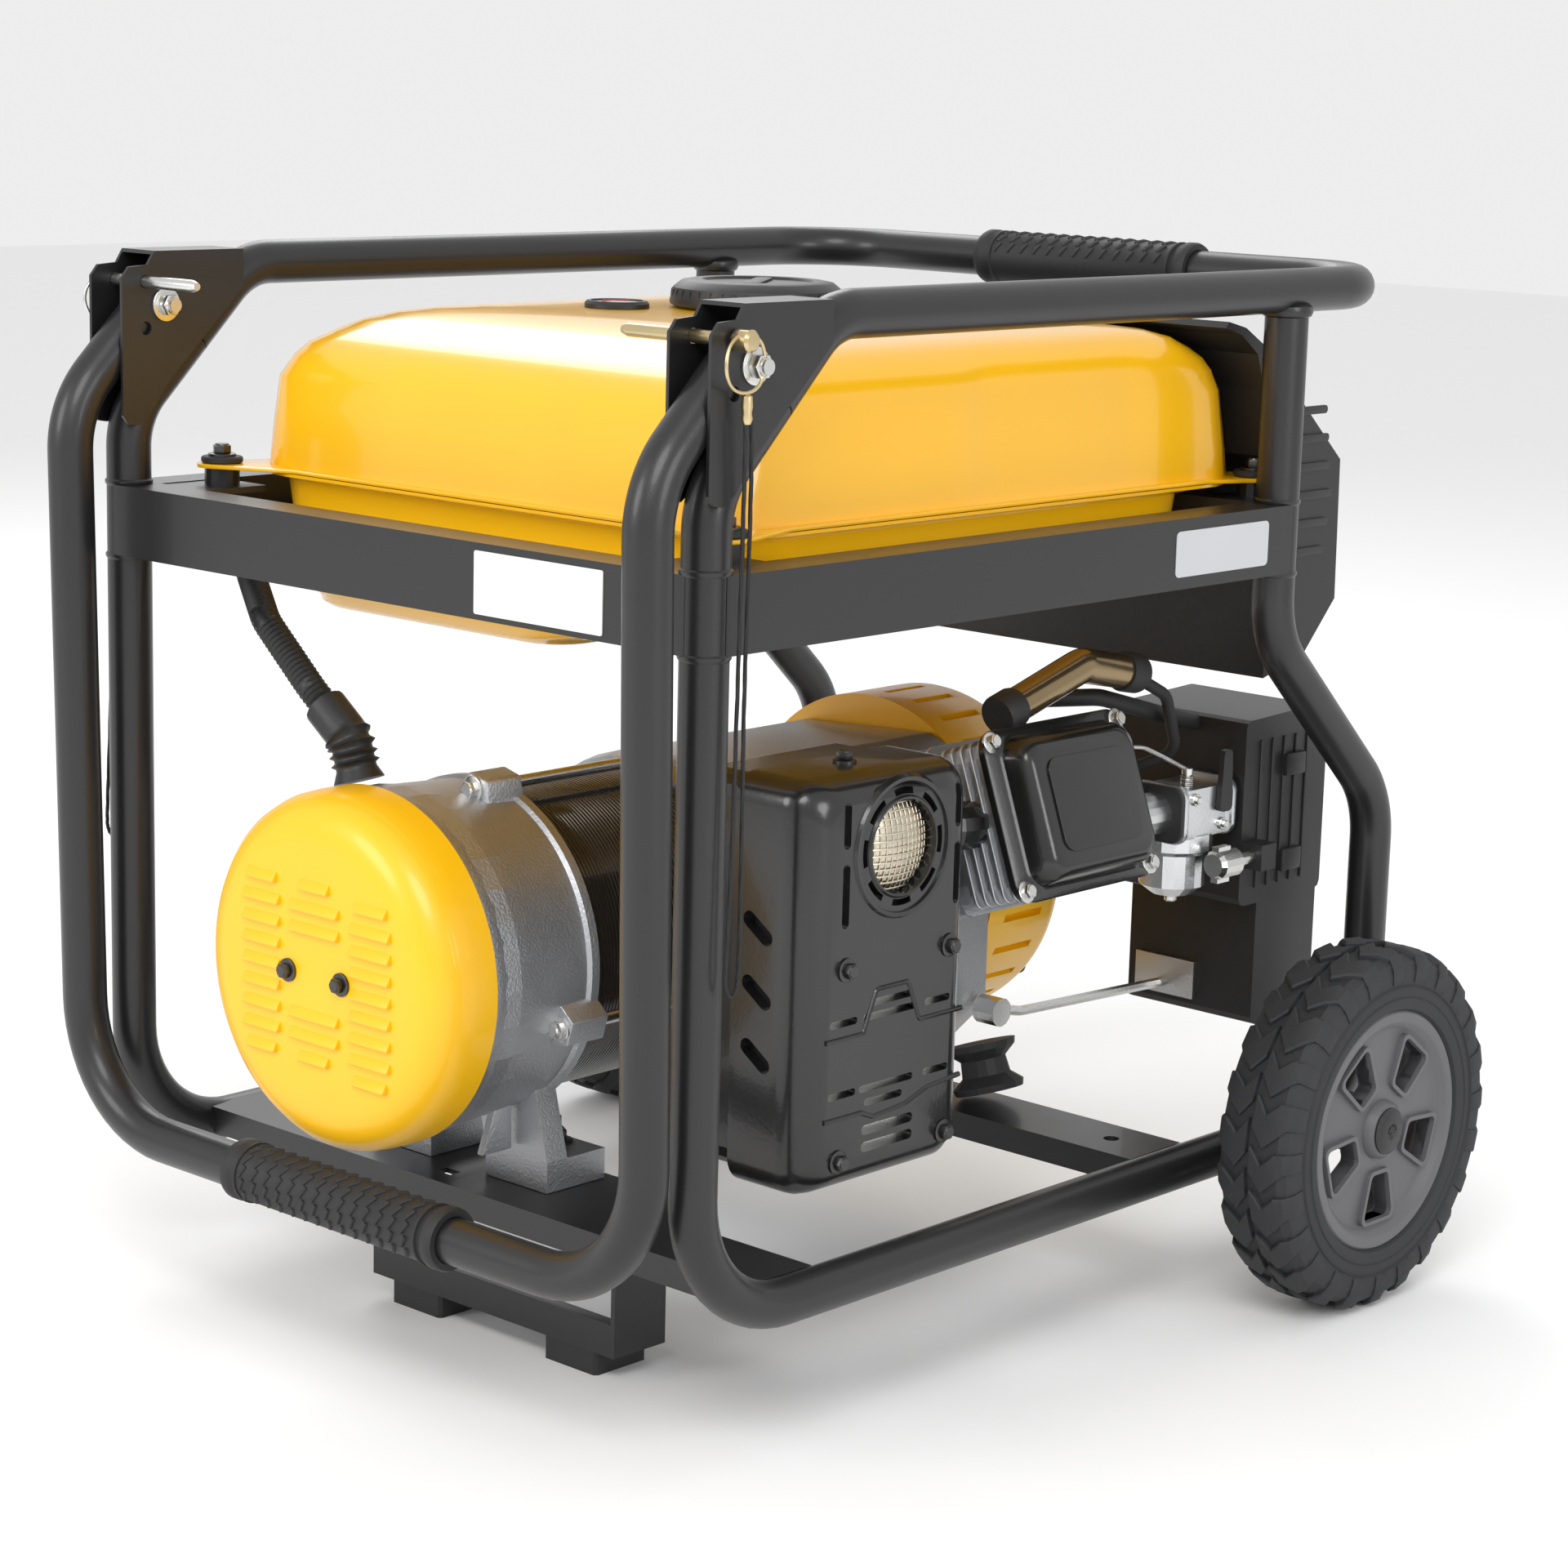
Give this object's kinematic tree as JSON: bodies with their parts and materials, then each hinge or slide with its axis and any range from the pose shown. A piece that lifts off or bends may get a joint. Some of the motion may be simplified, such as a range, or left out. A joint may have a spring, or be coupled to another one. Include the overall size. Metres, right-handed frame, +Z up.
{
  "type": "portable generator",
  "caption": "Portable petrol generator in a black tube frame with a yellow tank, wheels, fold-down handle, side muffler, control panel and alternator on one shaft with the engine.",
  "frame": {"origin": "on the floor, under the middle of the bounding box", "axes": "+X runs from the alternator end to the control panel end, -Y is the muffler side, +Z is up"},
  "size_m": [0.6638, 0.65, 0.6111],
  "materials": {
    "frame_paint": "satin black powder coat",
    "grip_rubber": "matt",
    "zinc": "zinc plated",
    "cord": "matt",
    "tyre": "matt",
    "wheel_grey": "satin",
    "yellow": "gloss",
    "black_plastic": "fine grain",
    "panel_grey": "fine grain",
    "switch_red": "satin",
    "cast_alloy": "as cast",
    "enamel": "semi-gloss heat resistant",
    "plug_bronze": "plated",
    "winding": "varnish",
    "steel": "machined"
  },
  "bodies": {
    "frame": {"side_frame_near": "frame_paint", "side_frame_far": "frame_paint", "top_loop": "frame_paint", "carry_grip": "grip_rubber", "gusset_near": "frame_paint", "gusset_far": "frame_paint", "shelf_rail_near": "frame_paint", "shelf_rail_far": "frame_paint", "shelf_rail_alternator_end": "frame_paint", "shelf_rail_panel_end": "frame_paint", "alternator_crossmember": "frame_paint", "engine_crossmember": "frame_paint", "foot_bracket": "frame_paint", "foot_near": "grip_rubber", "foot_far": "grip_rubber", "axle_near": "frame_paint", "axle_far": "frame_paint", "pivot_bolt_near": "zinc", "pivot_bolt_far": "zinc", "tank_upper": "yellow", "tank_lower": "yellow", "fuel_gauge": "black_plastic", "control_hood": "black_plastic", "control_panel": "panel_grey", "socket_block": "black_plastic", "crankcase": "cast_alloy", "cylinder_head": "cast_alloy", "valve_cover": "enamel", "spark_lead": "plug_bronze", "carburettor": "cast_alloy", "air_box": "black_plastic", "strut": "zinc", "recoil_cover": "yellow", "rubber_mount_near": "grip_rubber", "rubber_mount_far": "grip_rubber", "muffler": "enamel", "muffler_guard": "enamel", "alternator_cover": "yellow", "end_bell": "cast_alloy", "stator": "winding", "adapter_bell": "cast_alloy", "cable_conduit": "grip_rubber"},
    "handle": {"fold_handle": "frame_paint", "handle_grip": "grip_rubber"},
    "pin_near": {"lock_pin_near": "zinc", "lanyard_near": "cord"},
    "pin_far": {"lock_pin_far": "zinc", "lanyard_far": "cord"},
    "wheel_near": {"tyre_near": "tyre", "wheel_hub_near": "wheel_grey"},
    "wheel_far": {"tyre_far": "tyre", "wheel_hub_far": "wheel_grey"},
    "cap": {"fuel_cap": "black_plastic"},
    "choke": {"choke_lever": "black_plastic"},
    "tap": {"fuel_tap": "zinc"},
    "switch": {"engine_switch": "switch_red"},
    "breaker": {"breaker_button": "black_plastic"},
    "starter": {"recoil_grip": "black_plastic"},
    "rotor_shaft": {"rotor": "steel"},
    "dipstick": {"oil_dipstick": "black_plastic"}
  },
  "joints": [
    {"name": "handle_fold", "type": "hinge", "parent": "frame", "child": "handle", "pos_m": [-0.26396, 0, 0.5725], "axis": [0, 1, 0], "range_deg": [0, 28]},
    {"name": "pin_near_pull", "type": "slide", "parent": "frame", "child": "pin_near", "axis": [0, -1, 0], "range_m": [0, 0.08]},
    {"name": "pin_far_pull", "type": "slide", "parent": "frame", "child": "pin_far", "axis": [0, 1, 0], "range_m": [0, 0.08]},
    {"name": "wheel_near_spin", "type": "hinge", "parent": "frame", "child": "wheel_near", "pos_m": [0.21204, -0.298, 0.109], "axis": [0, 1, 0], "continuous": true},
    {"name": "wheel_far_spin", "type": "hinge", "parent": "frame", "child": "wheel_far", "pos_m": [0.21204, 0.298, 0.109], "axis": [0, 1, 0], "continuous": true},
    {"name": "fuel_cap_turn", "type": "hinge", "parent": "frame", "child": "cap", "pos_m": [0.03304, 0.033, 0.572], "axis": [0, 0, 1], "range_deg": [0, 90]},
    {"name": "choke_swing", "type": "hinge", "parent": "frame", "child": "choke", "pos_m": [0.22204, -0.186, 0.284], "axis": [0, -1, 0], "range_deg": [0, 45]},
    {"name": "fuel_tap_turn", "type": "hinge", "parent": "frame", "child": "tap", "pos_m": [0.23804, -0.1965, 0.249], "axis": [1, 0, 0], "range_deg": [0, 90]},
    {"name": "engine_switch_rock", "type": "hinge", "parent": "frame", "child": "switch", "pos_m": [0.29714, 0.11, 0.446], "axis": [0, 1, 0], "range_deg": [0, 10]},
    {"name": "breaker_press", "type": "slide", "parent": "frame", "child": "breaker", "axis": [-1, 0, 0], "range_m": [0, 0.003], "stiffness_N_per_m": 200},
    {"name": "starter_pull", "type": "slide", "parent": "frame", "child": "starter", "axis": [1, 0, 0], "range_m": [0, 0.3], "stiffness_N_per_m": 40},
    {"name": "rotor_spin", "type": "hinge", "parent": "frame", "child": "rotor_shaft", "pos_m": [-0.12896, 0.032, 0.223], "axis": [1, 0, 0], "continuous": true},
    {"name": "dipstick_turn", "type": "hinge", "parent": "frame", "child": "dipstick", "pos_m": [0.09104, 0.136, 0.168], "axis": [0, 1, 0], "range_deg": [0, 180]}
  ]
}
